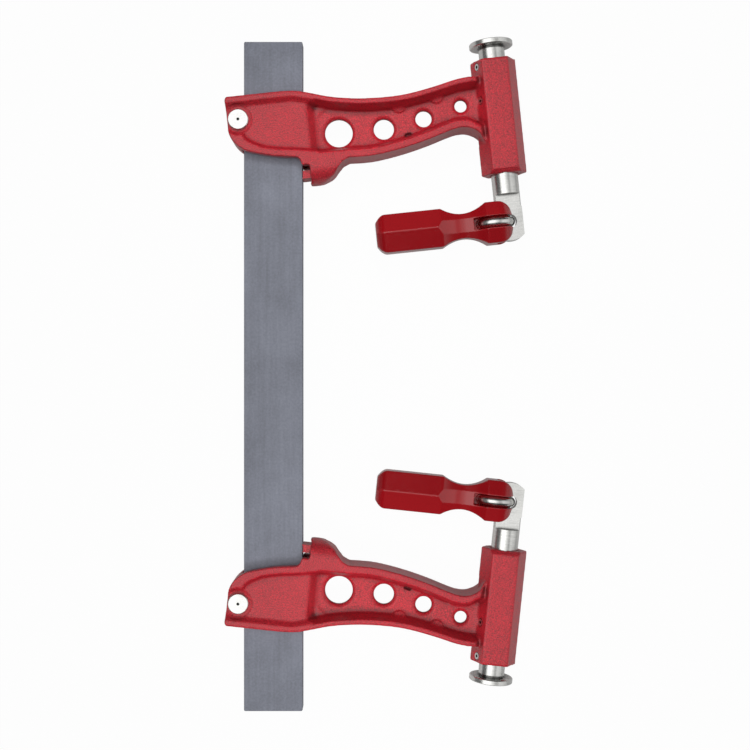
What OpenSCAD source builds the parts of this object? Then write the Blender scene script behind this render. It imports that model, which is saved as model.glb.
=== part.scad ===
// Reversible bar clamp: a flat steel bar with two cast arms that slide and lock on it.
// Each arm carries a screw in a hexagonal barrel, a pressure pad and a folding handle.
// The pads face outwards here, so the clamp is set up as a spreader.
// Frame: +Y along the bar towards the upper arm, +X from the bar towards the screws, +Z up off
// the bench. The origin is the middle of the bar's lower broad face. Sizes are in millimetres.

/* [Bar] */
// Length of the bar
bar_len = 400; // [380:10:600]
// Width of the bar across its broad face
bar_w = 35; // [32:1:40]
// Thickness of the bar
bar_t = 10; // [8:0.5:11]
// Chamfer around the bar's two ends
bar_chamfer = 0.5; // [0.4:0.1:1.5]

/* [Arms on the bar] */
// Place of the upper arm's rear pin along the bar
upper_at = 152.8; // [130:0.1:160]
// Place of the lower arm's rear pin along the bar
lower_at = -135; // [-150:1:-125]
// Angle at which an arm cocks and bites on the bar
cock = 6; // [4:0.5:7]
// Side clearance between the bar and an arm's slot
slot_gap = 0.6; // [0.3:0.1:1]
// Room in front of the bar, which lets an arm rock loose
rock_room = 3.6; // [3.2:0.2:5]

/* [Arm casting] */
// Throat, from the bar to the screw's axis
throat = 117; // [105:1:130]
// Thickness of the arm over its flanges
arm_t = 24; // [23:0.5:28]
// Width of the flange along the arm's top edge
flange_w = 3.3; // [2.5:0.1:4.5]
// Width of the flange along the arm's lower edge
low_flange_w = 4.8; // [3.5:0.1:5.5]
// Thickness of the web between the flanges
web_t = 6; // [4:0.5:8]
// Width of the slope from a flange down to the web
pocket_slope = 2.5; // [1:0.1:3]
// Distance from the slot's front wall to the foot of the slope beside the bar
web_from = 3.8; // [3:0.2:6]
// Depth of the side panel below the flanges
panel_deep = 3; // [1:0.2:3.4]
// Width of the slope along the side panel's top
panel_slope_w = 3.1; // [2:0.1:4]
// Half the height of the heel above the rear pin
heel_up = 13.5; // [12:0.5:16]
// Diameter of the largest lightening hole
hole_d = 16.6; // [14:0.2:18]
// Height of a scalloped pad on the web
scallop_h = 1.5; // [0.5:0.1:1.8]
// Radius of a scalloped pad
scallop_r = 4.7; // [3.5:0.1:5.5]

/* [Rear pin] */
// Diameter of the rear pin
pin_d = 6; // [5:0.5:8]
// Diameter of the rear pin's heads
pin_head_d = 12.2; // [11:0.2:13]
// Thickness of the rear pin's heads
pin_head_h = 2; // [1.5:0.1:2.5]
// Diameter of the centre mark in a pin head
pin_mark_d = 1.8; // [1:0.1:2.4]

/* [Grip insert] */
// Height of the grip insert along the bar
insert_h = 4.6; // [3:0.2:5]
// Width of the grip insert across the bar's edge
insert_w = 14; // [12:1:20]
// Depth of the grip insert's seat in the nose
insert_seat = 3; // [2:0.5:4]
// Height of the open notch over and under the grip insert
notch_gap = 2.8; // [1.5:0.1:3]
// Depth of the serrations on the grip insert
tooth_h = 0.6; // [0.3:0.1:0.7]

/* [Screw barrel] */
// Length of the hexagonal barrel
barrel_len = 68.6; // [60:0.2:80]
// Width of the barrel across its side corners
barrel_w = 27.6; // [25:0.1:30]
// Thickness of the barrel across its front and back flats
barrel_t = 22.5; // [22:0.5:26]
// Width of the barrel's front flat
barrel_flat = 15.4; // [14:0.2:17]
// Bevel at the barrel's handle end
barrel_bevel = 2.6; // [1:0.2:4]
// Height of the barrel's pad end above the rear pin
barrel_up = 20.6; // [18:0.2:24]

/* [Screw] */
// Diameter of the screw's shank and thread
screw_d = 16; // [14:0.5:17]
// Pitch of the screw thread
pitch = 4; // [3:0.5:5]
// Depth of the screw thread
thread_deep = 1.9; // [1:0.1:2.2]
// Length of the threaded stretch
thread_len = 36; // [30:1:40]
// Length of shank in view between the barrel and the flats
shank_out = 12; // [11.5:0.5:18]
// Running clearance on a radius
run_gap = 0.05; // [0.03:0.01:0.1]
// Outer diameter of the threaded nut sleeve
nut_d = 19; // [18.5:0.1:19.5]
// Length of the threaded nut sleeve
nut_len = 40; // [30:1:44]
// Diameter of the two grub screws that lock the nut sleeve
grub_d = 4; // [3:0.5:5]

/* [Pressure pad] */
// Diameter of the pad
pad_d = 26; // [22:1:32]
// Thickness of the pad
pad_t = 3; // [2:0.5:5]
// Gap between the pad and the barrel
pad_gap = 8.2; // [8:0.1:12]
// Length of the pad's neck
neck_len = 18.7; // [18:0.1:22]
// Diameter of the screw's journal in the pad
journal_d = 10; // [9:0.5:11]
// Wire thickness of the pad's retaining ring
clip_t = 1.2; // [1:0.1:1.6]

/* [Handle joint] */
// Thickness of the flattened end of the screw
tang_t = 7.5; // [6:0.25:8]
// Radius of the flattened end about the hinge
tang_r = 11.6; // [10.5:0.1:12]
// Distance from the flats' shoulder to the hinge
tang_drop = 16.4; // [16:0.1:20]
// Wire diameter of the steel link
link_wire = 6; // [5:0.2:6.4]
// Centreline radius of the steel link
link_r = 8.8; // [8.6:0.1:9.6]
// Diameter of the hinge hole in the flattened end
hinge_d = 8.4; // [8.2:0.1:9]

/* [Handle] */
// Length of the handle from the hinge to its end
handle_len = 80.5; // [70:0.5:110]
// Width of the grip across its flats
grip_w = 22.9; // [20:0.1:26]
// Width of the handle's waist across its flats
waist_w = 14.8; // [13:0.1:18]
// Thickness of the handle's waist from front to back
waist_t = 12.4; // [11:0.1:15]
// Distance from the hinge to the middle of the waist
waist_at = 28.2; // [27:0.2:31]
// Width of the handle's head across its flats
head_w = 24.8; // [23.5:0.1:27]
// Distance from the hinge to the end of the head's flats
head_to = 14.3; // [12:0.1:16]
// Distance from the hinge to the start of the grip's flats
grip_from = 41; // [38:0.5:45]
// Clearance between the handle and the flattened end
fork_gap = 0.6; // [0.4:0.1:1]

/* [Hidden] */
$fn = 48;
// Overshoot of a cut past the face that it opens
cut = 1;
// Steps in the slope from a flange down to the web
slope_steps = 5;
// Fitted faces of pieces that are locked together stand this far apart
seat_gap = 0.05;

// In an arm's own frame, u runs from the rear pin to the screw and v along the screw,
// both in the bar's middle plane, and the rear pin is the origin.
mid_z = bar_t / 2;
pin_r = pin_d / 2;
pin_x = -bar_w / 2 - pin_r - run_gap;
slot_t = bar_t + 2 * slot_gap;
heel_u = -6.8;
slot_back = 0.1;
slot_front = pin_r + bar_w + rock_room;
screw_u = pin_r + bar_w + throat;
half_t = arm_t / 2;
panel_z = half_t - panel_deep;
spot_z = panel_z - 1;
spot_r = pin_head_d / 2 + 1.3;
nose_v = -42.8;

// Place along the arm, from 0 at the slot's front wall to 1 at the screw's axis
function reach(f) = slot_front + f * (screw_u - slot_front);

// Smooth curve through a list of points, with steps points to a span
function curve_point(a, b, c, d, t) =
    0.5 * (2 * b + (c - a) * t + (2 * a - 5 * b + 4 * c - d) * t * t + (3 * b - a - 3 * c + d) * t * t * t);
function curve(p, steps = 4) = concat(
    [for (i = [0 : len(p) - 2], s = [0 : steps - 1])
        curve_point(p[max(i - 1, 0)], p[i], p[i + 1], p[min(i + 2, len(p) - 1)], s / steps)],
    [p[len(p) - 1]]);
function turned(p) = [for (i = [len(p) - 1 : -1 : 0]) p[i]];

// The arm's top edge and lower edge, as [share of the reach, height above the pin]
top_edge = [[-0.14, heel_up], [-0.06, heel_up - 0.5], [0.01, 11.1], [0.13, 7.1], [0.27, 4.5], [0.42, 3.6],
    [0.54, 4.3], [0.68, 7], [0.79, 9.7], [0.88, 10.6], [0.92, 10.6]];
low_edge = [[0.19, -29.8], [0.30, -30.2], [0.40, -29.1], [0.51, -26.9], [0.62, -23.9], [0.71, -20.9],
    [0.775, -19.2], [0.835, -19.7], [0.885, -23.4], [0.903, -28]];
// The largest hole and the three smaller ones, as [share, height, share of hole_d]
holes = [[0.150, -13, 1], [0.389, -13.4, 0.735], [0.604, -9.7, 0.59], [0.806, -4.4, 0.445]];
low_scallops = [[0.280, -26.6], [0.520, -22.3], [0.735, -16.4]];
high_scallops = [[0.480, 0], [0.680, 3.2]];
// The web's corner beside the bar stands up a little, outside a circle about the largest hole
corner_h = 0.7;
corner_r = 16;
function along(p, dv = 0) = [for (q = p) [reach(q[0]), q[1] + dv]];

heel_curve = curve([[heel_u, -6], [-4.8, -12.2], [0, -17.6], [5.1, -20.2], [15, -23.2],
    [23.5, -25], [slot_front - 9, -26.2]], 3);
nose_curve = curve([[slot_front - 2.4, nose_v + 0.3], [slot_front + 2, nose_v],
    [slot_front + 6.8, nose_v + 1.3], [slot_front + 11.6, nose_v + 4],
    [slot_front + 14.2, nose_v + 7.4], [slot_front + 17.4, nose_v + 11.2]], 3);

module arm_outline() polygon(concat(
    [[heel_u + 1.2, heel_up], [heel_u, heel_up - 1.5]],
    heel_curve,
    [[slot_front - 7.4, -28], [slot_front - 6.2, -33], [slot_front - 4.4, nose_v + 3.2]],
    nose_curve,
    curve(along(low_edge)),
    [[screw_u - 6, -28], [screw_u - 6, 10.6]],
    turned(curve(along(top_edge)))));

// The pocket between the flanges, drawn in by an extra amount. It runs into the barrel's side
module web_pocket(extra) {
    top = [for (q = top_edge) if (q[0] > 0.05) q];
    low = [for (q = low_edge) if (q[0] < 0.85) q];
    polygon(concat(
        [[slot_front + web_from, -24.9 + extra]],
        curve(along(low, low_flange_w + extra)),
        [[reach(0.88), extra - 18.2], [screw_u - 8, extra - 20], [screw_u - 8, 10.6 - flange_w - extra]],
        turned(curve(along(top, -flange_w - extra))),
        [[slot_front + web_from, 7 - extra]]));
}

module web_corner() difference() {
    translate([slot_front, -8]) square([reach(holes[0][0]) - slot_front, 30]);
    translate([reach(holes[0][0]), holes[0][1]]) circle(r = corner_r);
}

// The slope from the side panel over the bar down to the web
module panel_slope() {
    outline = [[slot_front - 3, -22.2], [slot_front + web_from + 1, -22.6], [slot_front + web_from + 1, 4.5],
        [slot_front - 3, 6]];
    for (side = [0, 1]) mirror([0, 0, side]) intersection() {
        linear_extrude(arm_t) polygon(outline);
        along_screw(-40, 30) polygon([
            [slot_front + web_from, web_t / 2], [slot_front + web_from + 2, web_t / 2],
            [slot_front + web_from + 2, arm_t], [slot_front - 0.6, arm_t], [slot_front - 0.6, panel_z]]);
    }
}

// The side panel's outline over the bar, drawn in below by an extra amount
module panel(extra) {
    corner = [[1.8, -10.8], [3, -13], [5.5, -15]];
    low = [for (q = heel_curve) if (q[0] > 9) q + [0, flange_w + 0.6]];
    polygon(concat(
        [[heel_u - cut, heel_up], [heel_u - cut, 0], [1.4, -8]],
        [for (q = concat(corner, low)) q + [0.5 * extra, extra]],
        [[slot_front + web_from + 0.4, extra - 24.5], [slot_front + web_from + 0.4, heel_up]]));
}

// The space under the slope along the panel's top, which starts at height v and falls by an angle
module under_slope(v, turn) translate([panel_bend, v, 0]) rotate([0, 0, turn])
    translate([-60, 0, 0]) rotate([90, 0, 90]) linear_extrude(120) polygon([
        [-60, 0], [-60, arm_t], [panel_slope_w / panel_deep * (arm_t - half_t), arm_t],
        [-panel_slope_w / panel_deep * half_t, 0]]);
panel_bend = 33.4;

// A side panel over the bar, whose top slope follows the arm's top edge
module side_panel() intersection() {
    union() {
        translate([0, 0, panel_z]) linear_extrude(arm_t) panel(1.1);
        translate([0, 0, panel_z + panel_deep / 2]) linear_extrude(arm_t) panel(0.5);
    }
    under_slope(heel_up - flange_w, 0);
    under_slope(heel_up - flange_w, -15);
}

// Both faces of the arm get the same cut, from a depth z outwards
module both_faces(z) {
    for (side = [0, 1]) mirror([0, 0, side]) translate([0, 0, z]) linear_extrude(arm_t) children();
}

// A shape drawn across the screw, in u and z, and stretched along it
module along_screw(from, to) {
    translate([0, to, 0]) rotate([90, 0, 0]) linear_extrude(to - from) children();
}

barrel_low = barrel_up - barrel_len;
shank_low = barrel_low - shank_out;
hinge_v = shank_low - tang_drop;
pad_low = barrel_up + pad_gap;
pad_top = pad_low + pad_t;
neck_low = pad_low - neck_len;
thread_high = neck_low - 0.4;
thread_low = thread_high - thread_len;
screw_r = screw_d / 2;
bore_r = screw_r + run_gap;
nut_r = nut_d / 2;
journal_r = journal_d / 2;
journal_top = pad_low - 1.2;
clip_v = neck_low + 12;
grub_vs = [barrel_up - 3.8, barrel_up - 24];
// The grub screws stand square to the barrel's front face on the bar's side
flat_run = (barrel_w - barrel_flat) / 2;
grub_turn = atan2(flat_run, barrel_t / 2);
grub_out = barrel_w / 2 * cos(grub_turn);

module barrel_section() polygon([
    [screw_u - barrel_flat / 2, barrel_t / 2], [screw_u + barrel_flat / 2, barrel_t / 2],
    [screw_u + barrel_w / 2, 0], [screw_u + barrel_flat / 2, -barrel_t / 2],
    [screw_u - barrel_flat / 2, -barrel_t / 2], [screw_u - barrel_w / 2, 0]]);

// The barrel, bevelled on its flats at the handle end and a little at the pad end
module barrel() intersection() {
    along_screw(barrel_low, barrel_up) barrel_section();
    translate([screw_u - barrel_w, 0, 0]) rotate([0, 90, 0]) linear_extrude(2 * barrel_w) polygon([
        [-barrel_t / 2, barrel_up - 0.8], [-barrel_t / 2 + 0.8, barrel_up],
        [barrel_t / 2 - 0.8, barrel_up], [barrel_t / 2, barrel_up - 0.8],
        [barrel_t / 2, barrel_low + barrel_bevel], [barrel_t / 2 - barrel_bevel, barrel_low],
        [-barrel_t / 2 + barrel_bevel, barrel_low], [-barrel_t / 2, barrel_low + barrel_bevel]]);
}

// The arm's faces drop steeply just before they reach the barrel
module arm_taper() along_screw(-80, 40) polygon([
    [heel_u - cut, half_t], [screw_u - 12.6, half_t], [screw_u - 9.4, half_t - 5],
    [screw_u - 5, half_t - 5], [screw_u - 5, 5 - half_t], [screw_u - 9.4, 5 - half_t],
    [screw_u - 12.6, -half_t], [heel_u - cut, -half_t]]);

// The nose under the arm is rounded from face to face
module nose_round() translate([heel_u - cut, 0, 0]) rotate([0, 90, 0]) linear_extrude(screw_u + 20) {
    translate([-half_t, nose_v + half_t]) square([arm_t, 70]);
    translate([0, nose_v + half_t]) circle(r = half_t);
}

module grub_place(v) translate([screw_u, v, 0]) rotate([0, grub_turn - 90, 0]) children();

// The arm without its barrel, with the web and the side panels sunk in both faces
module arm_plate() difference() {
    intersection() {
        linear_extrude(arm_t, center = true) arm_outline();
        arm_taper();
        nose_round();
    }
    // Web between the flanges, whose inner sides slope in steps
    both_faces(web_t / 2) difference() {
        web_pocket(pocket_slope);
        for (p = high_scallops) translate([reach(p[0]), p[1]]) circle(r = scallop_r);
        web_corner();
    }
    both_faces(web_t / 2 + corner_h) intersection() {
        web_pocket(pocket_slope);
        web_corner();
    }
    both_faces(web_t / 2 + scallop_h) web_pocket(pocket_slope);
    step_h = (half_t - web_t / 2) / (slope_steps + 1);
    for (i = [1 : slope_steps])
        both_faces(web_t / 2 + i * step_h) web_pocket(pocket_slope * (1 - i / slope_steps));
    both_faces(web_t / 2 - scallop_h) intersection() {
        web_pocket(pocket_slope);
        union() for (p = low_scallops) translate([reach(p[0]), p[1]]) circle(r = scallop_r);
    }
    panel_slope();
    for (side = [0, 1]) mirror([0, 0, side]) side_panel();
}

module arm() color("firebrick") difference() {
    union() {
        arm_plate();
        barrel();
    }
    // Slot for the bar
    translate([slot_back, -34, -slot_t / 2]) cube([slot_front - slot_back, heel_up + 34 + cut, slot_t]);
    // Spot faces under the rear pin's heads, and its bore
    for (side = [0, 1]) mirror([0, 0, side]) translate([0, 0, spot_z]) {
        cylinder(r1 = spot_r, r2 = spot_r + 2, h = 1.4);
        translate([0, 0, 1.4]) cylinder(r = spot_r + 2, h = arm_t);
    }
    cylinder(r = pin_r + run_gap, h = arm_t + 2 * cut, center = true);
    // Lightening holes with countersunk rims
    for (h = holes) translate([reach(h[0]), h[1], 0]) {
        cylinder(d = hole_d * h[2], h = arm_t, center = true);
        for (side = [0, 1]) mirror([0, 0, side]) translate([0, 0, web_t / 2 - 1.4])
            cylinder(r1 = hole_d * h[2] / 2, r2 = hole_d * h[2] / 2 + 1.8 + 0.02, h = 1.42);
    }
    // Bores for the screw's shank and its nut sleeve
    translate([screw_u, barrel_low - cut, 0]) rotate([-90, 0, 0])
        cylinder(r = bore_r + 0.25, h = barrel_len + 2 * cut);
    translate([screw_u, barrel_up - nut_len, 0]) rotate([-90, 0, 0])
        cylinder(r = nut_r + seat_gap, h = nut_len + cut);
    for (v = grub_vs) grub_place(v) cylinder(r = grub_d / 2 + seat_gap, h = grub_out + 0.4);
    // Notch in the nose with the seat of the grip insert
    translate([slot_front - 12, insert_v - insert_h / 2 - notch_gap, -arm_t])
        cube([insert_back - slot_front + 12 - insert_seat, insert_h + 2 * notch_gap, 2 * arm_t]);
    translate([slot_front - 12, insert_v - insert_h / 2 - seat_gap, -insert_w / 2 - seat_gap])
        cube([insert_back - slot_front + 12 + seat_gap, insert_h + 2 * seat_gap, insert_w + 2 * seat_gap]);
}

insert_v = -36.4;
insert_back = slot_front + insert_seat - 2.2;
// The bar's front edge at the insert, in the cocked arm's frame
bar_edge_u = (pin_r + run_gap + bar_w) / cos(cock) + insert_v * tan(cock);

// Hardened insert whose serrated face bites the bar's front edge
module grip_insert() color("dimgray") difference() {
    translate([bar_edge_u - 2, insert_v - insert_h / 2, -insert_w / 2])
        cube([insert_back - bar_edge_u + 2, insert_h, insert_w]);
    translate([bar_edge_u + run_gap, insert_v, 0]) rotate([0, 0, -cock])
        translate([-10, -10, -insert_w]) cube([10, 20, 2 * insert_w]);
    for (i = [-1 : 1]) translate([bar_edge_u + run_gap, insert_v, 0]) rotate([0, 0, -cock])
        translate([0, 2 * i * tooth_h, 0]) rotate([0, 0, 45])
            cube([tooth_h * sqrt(2), tooth_h * sqrt(2), 2 * insert_w], center = true);
}

// Riveted pin behind the bar, on which the arm rocks
module rear_pin() color("gainsboro") difference() {
    union() {
        cylinder(r = pin_r, h = 2 * spot_z + pin_head_h, center = true);
        for (side = [0, 1]) mirror([0, 0, side]) translate([0, 0, spot_z + run_gap]) {
            cylinder(d = pin_head_d, h = pin_head_h - 0.4);
            translate([0, 0, pin_head_h - 0.4]) cylinder(d1 = pin_head_d, d2 = pin_head_d - 0.8, h = 0.4);
        }
    }
    for (side = [0, 1]) mirror([0, 0, side]) translate([0, 0, spot_z + pin_head_h - 1.4])
        cylinder(d1 = 0.6, d2 = pin_mark_d, h = 0.8);
    for (side = [0, 1]) mirror([0, 0, side]) translate([0, 0, spot_z + pin_head_h - 0.6])
        cylinder(d = pin_mark_d, h = 1);
}

// A turned piece on the screw's axis, from its outline as [radius, place along the screw]
module turned_piece(points) translate([screw_u, 0, 0]) rotate([-90, 0, 0]) rotate_extrude() polygon(points);

module screw_nut() color("darkgray")
    turned_piece([[bore_r, barrel_up - nut_len + seat_gap], [nut_r, barrel_up - nut_len + seat_gap],
        [nut_r, barrel_up - 0.6], [nut_r - 0.4, barrel_up - 0.2],
        [bore_r + 0.6, barrel_up - 0.2], [bore_r, barrel_up - 0.8]]);

module grub_screws() color("silver") for (v = grub_vs) grub_place(v) difference() {
    translate([0, 0, nut_r + seat_gap]) cylinder(d = grub_d, h = grub_out - nut_r - 0.3);
    translate([0, 0, grub_out - 1.3]) cylinder(d = grub_d / 2, h = 2, $fn = 6);
}

module pad() color("lightgray") difference() {
    turned_piece([[0, neck_low], [bore_r - 0.25, neck_low], [bore_r - 0.25, pad_low - 1.4],
        [bore_r - 1, pad_low - 0.9], [bore_r - 1, pad_low],
        [pad_d / 2 - 0.4, pad_low], [pad_d / 2, pad_low + 0.4],
        [pad_d / 2, pad_top - 0.4], [pad_d / 2 - 0.4, pad_top], [0, pad_top]]);
    turned_piece([[0, neck_low - cut], [journal_r + run_gap, neck_low - cut],
        [journal_r + run_gap, clip_v - 0.1],
        [journal_r + 0.7, clip_v - 0.1], [journal_r + 0.7, clip_v + clip_t + 0.1],
        [journal_r + run_gap, clip_v + clip_t + 0.1], [journal_r + run_gap, journal_top + run_gap],
        [0, journal_top + run_gap]]);
}

// Split ring that keeps the pad on the screw's journal
module pad_clip() color("gray") difference() {
    turned_piece([[journal_r - 0.6, clip_v], [journal_r + 0.6, clip_v],
        [journal_r + 0.6, clip_v + clip_t], [journal_r - 0.6, clip_v + clip_t]]);
    translate([screw_u, clip_v - cut, -1]) cube([journal_d, clip_t + 2 * cut, 2]);
}

// The thread is drawn as rings of its own profile and pitch
thread_turns = floor(thread_len / pitch);
thread_root = screw_r - thread_deep;
function thread_side() = [for (i = [0 : thread_turns - 1]) let (v = thread_low + i * pitch)
    each [[thread_root, v + 0.25 * pitch], [screw_r, v + 0.4 * pitch],
        [screw_r, v + 0.75 * pitch], [thread_root, v + 0.9 * pitch]]];

module screw() color("lightgray") difference() {
    union() {
        turned_piece(concat(
            [[0, hinge_v], [screw_r, hinge_v], [screw_r, thread_low - 1], [thread_root, thread_low]],
            thread_side(),
            [[thread_root, thread_high], [journal_r, thread_high], [journal_r, clip_v - 0.1],
                [journal_r - 0.7, clip_v - 0.1], [journal_r - 0.7, clip_v + clip_t + 0.1],
                [journal_r, clip_v + clip_t + 0.1], [journal_r, journal_top - 0.5],
                [journal_r - 0.5, journal_top], [0, journal_top]]));
        intersection() {
            translate([screw_u, hinge_v, 0]) cylinder(r = tang_r, h = tang_t, center = true);
            translate([screw_u - screw_r, hinge_v - tang_r, -tang_t]) cube([screw_d, 2 * tang_r, 2 * tang_t]);
        }
    }
    // Flats on both sides of the end, from the shoulder down
    for (side = [0, 1]) mirror([0, 0, side]) translate([screw_u - screw_d, hinge_v - 2 * tang_r, tang_t / 2])
        cube([2 * screw_d, 2 * tang_r + tang_drop, screw_d]);
    translate([screw_u, hinge_v, 0]) cylinder(d = hinge_d, h = screw_d, center = true);
}

// Half the handle's width across its flats at a distance t from the hinge
head_round = 9.6;
head_tip = 2.8;
end_bevel = 6;
function handle_half(t) =
    t < head_round - head_tip ?
        head_w / 2 * sqrt(max(0.06, 1 - pow((head_round - head_tip - t) / head_round, 2))) :
    t < head_to ? head_w / 2 :
    t < waist_at ? waist_w / 2 + (head_w - waist_w) / 2 * pow((waist_at - t) / (waist_at - head_to), 2) :
    t < grip_from ? waist_w / 2 + (grip_w - waist_w) / 2 * pow((t - waist_at) / (grip_from - waist_at), 2) :
    t < handle_len - end_bevel ? grip_w / 2 :
    grip_w / 2 * (1 - 0.4 * pow((t - handle_len + end_bevel) / end_bevel, 2));
handle_stops = concat([for (i = [0 : 6]) -head_tip + head_round * i * i / 36],
    [for (i = [0 : 6]) head_to + i * (waist_at - head_to) / 6],
    [for (i = [1 : 6]) waist_at + i * (grip_from - waist_at) / 6],
    [for (i = [0 : 3]) handle_len - end_bevel * (3 - i) / 3]);
function handle_side(side) = [for (t = handle_stops) [-t, side * handle_half(t)]];

// Half the waist's thickness, which the scoops in front and behind leave
function scoop_half(x) = waist_t / 2 + (grip_w / sqrt(3) - waist_t / 2) * x * x;
scoop_run = grip_from - waist_at + 2.6;
function scoop_side(side) = concat([[2 * head_w, side * scoop_half(1.3)]],
    [for (i = [-7 : 7]) [-waist_at - scoop_run * 1.3 * i / 7, side * scoop_half(1.3 * i / 7)]],
    [[-2 * handle_len, side * scoop_half(1.3)]]);

// The handle is the space that crossed outlines share: three make its section a hexagon, and the
// fourth scoops the waist's front and back
module handle_body() intersection() {
    intersection_for(i = [0 : 2]) rotate([60 * i, 0, 0])
        linear_extrude(3 * head_w, center = true) polygon(concat(handle_side(1), turned(handle_side(-1))));
    rotate([90, 0, 0]) linear_extrude(3 * head_w, center = true)
        polygon(concat(scoop_side(1), turned(scoop_side(-1))));
}

link_u = 0.4 - link_r;
module link_ring(wire) translate([link_u, 0, 0]) rotate([90, 0, 0])
    rotate_extrude() translate([link_r, 0]) circle(d = wire);

module at_hinge() translate([screw_u, hinge_v, 0]) children();

module handle() color("crimson") at_hinge() difference() {
    handle_body();
    link_ring(link_wire + 2 * run_gap);
    // Windows in front and behind, which bare the outer half of the link
    translate([0, link_wire / 2 + fork_gap, 0]) rotate([90, 0, 0]) linear_extrude(link_wire + 2 * fork_gap)
        difference() {
            translate([link_u - link_r - link_wire / 2 - 1.6, -head_w]) square([2 * head_w, 2 * head_w]);
            translate([link_u, 0]) circle(r = link_r);
        }
    // Fork slot for the flattened end of the screw
    cylinder(r = tang_r + fork_gap, h = tang_t + 2 * fork_gap, center = true);
    translate([-tang_drop / 2, -head_w, -tang_t / 2 - fork_gap])
        cube([head_w, 2 * head_w, tang_t + 2 * fork_gap]);
}

module handle_link() color("silver") at_hinge() link_ring(link_wire);

module upper() translate([pin_x, upper_at, mid_z]) rotate([0, 0, cock]) children();
module lower() translate([pin_x, lower_at, mid_z]) mirror([0, 1, 0]) rotate([0, 0, cock]) children();

module bar() color("slategray") intersection() {
    translate([-bar_w / 2, -bar_len / 2, 0]) cube([bar_w, bar_len, bar_t]);
    linear_extrude(bar_t) polygon([for (s = [-1, 1]) each [
        [s * bar_w / 2, s * (bar_len / 2 - bar_chamfer)], [s * (bar_w / 2 - bar_chamfer), s * bar_len / 2],
        [s * (bar_chamfer - bar_w / 2), s * bar_len / 2], [-s * bar_w / 2, s * (bar_len / 2 - bar_chamfer)]]]);
}

bar();
upper() rear_pin();  // upper_rear_pin
upper() arm();  // upper_arm
upper() grip_insert();  // upper_grip_insert
upper() screw_nut();  // upper_screw_nut
upper() grub_screws();  // upper_grub_screws
upper() pad();  // upper_pad
upper() screw();  // upper_screw
upper() pad_clip();  // upper_pad_clip
upper() handle();  // upper_handle
upper() handle_link();  // upper_handle_link
lower() rear_pin();  // lower_rear_pin
lower() arm();  // lower_arm
lower() grip_insert();  // lower_grip_insert
lower() screw_nut();  // lower_screw_nut
lower() grub_screws();  // lower_grub_screws
lower() pad();  // lower_pad
lower() screw();  // lower_screw
lower() pad_clip();  // lower_pad_clip
lower() handle();  // lower_handle
lower() handle_link();  // lower_handle_link
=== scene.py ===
# %% [markdown]
# # A bar clamp with two folding handles
# The clamp is a flat steel bar with two red cast arms. The imported CAD model gives every solid in
# its place, so this scene only has to dress it: soften the castings, loft the handles, round the
# bar's edges and mix the finishes.

# %% Load the clamp's solids
import math

import bmesh
import bpy
from mathutils import Matrix, Vector


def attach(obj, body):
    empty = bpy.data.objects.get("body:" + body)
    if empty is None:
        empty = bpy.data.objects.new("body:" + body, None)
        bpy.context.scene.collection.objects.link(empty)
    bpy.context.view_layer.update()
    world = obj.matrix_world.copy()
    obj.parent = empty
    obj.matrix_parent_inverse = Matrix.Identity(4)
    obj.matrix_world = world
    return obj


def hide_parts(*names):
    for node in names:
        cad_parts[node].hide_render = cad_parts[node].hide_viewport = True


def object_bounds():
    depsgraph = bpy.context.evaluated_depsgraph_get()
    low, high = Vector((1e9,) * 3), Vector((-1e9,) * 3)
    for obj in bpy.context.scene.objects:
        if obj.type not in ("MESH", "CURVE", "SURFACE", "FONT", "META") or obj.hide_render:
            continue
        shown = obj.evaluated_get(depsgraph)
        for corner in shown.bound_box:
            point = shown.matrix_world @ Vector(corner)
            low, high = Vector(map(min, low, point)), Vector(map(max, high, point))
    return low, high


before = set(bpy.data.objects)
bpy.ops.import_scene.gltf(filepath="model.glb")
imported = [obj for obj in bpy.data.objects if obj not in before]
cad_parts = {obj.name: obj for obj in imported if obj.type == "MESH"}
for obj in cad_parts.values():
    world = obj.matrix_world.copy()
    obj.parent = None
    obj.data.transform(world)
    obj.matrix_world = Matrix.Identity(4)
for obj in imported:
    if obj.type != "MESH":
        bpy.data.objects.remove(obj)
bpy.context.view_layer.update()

# %% [markdown]
# ## Where an arm's own frame lies
# Both arms are one design, cocked on the bar. It is easiest to think in an arm's own frame: u runs
# from the rivet behind the bar to the screw, v runs along the screw, and w is the height above the
# bar's middle plane. One matrix takes that frame to the clamp's. The lower arm's matrix also
# mirrors, so its faces have to be turned the right way round afterwards.

# %% Clamp sizes, and the matrix of each arm
MM = 0.001
# In millimetres
BAR_WIDE, BAR_THICK, THROAT = 35, 10, 117
PIN_RADIUS, PIN_PLAY = 3, 0.05
BARREL_TOP, BARREL_LONG, SHANK_OUT, HINGE_IN = 20.6, 68.6, 12, 16.4
# In metres
PIN_X = -(BAR_WIDE / 2 + PIN_RADIUS + PIN_PLAY) * MM
PIN_Y = {"upper": 152.8 * MM, "lower": -135 * MM}
SCREW_U = (PIN_RADIUS + BAR_WIDE + THROAT) * MM
HINGE_V = (BARREL_TOP - BARREL_LONG - SHANK_OUT - HINGE_IN) * MM
BAR_MIDDLE = BAR_THICK / 2 * MM
COCK = math.radians(6)
SIDES = ("upper", "lower")


def arm_matrix(side):
    flip = -1 if side == "lower" else 1
    place = Matrix.Translation((PIN_X, PIN_Y[side], BAR_MIDDLE))
    return place @ Matrix.Diagonal((1, flip, 1, 1)) @ Matrix.Rotation(COCK, 4, "Z")


for side in SIDES:
    hinge = arm_matrix(side) @ Vector((SCREW_U, HINGE_V, 0))
    print(side, "handle hinge, mm:", [round(1000 * c, 1) for c in hinge])

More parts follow.
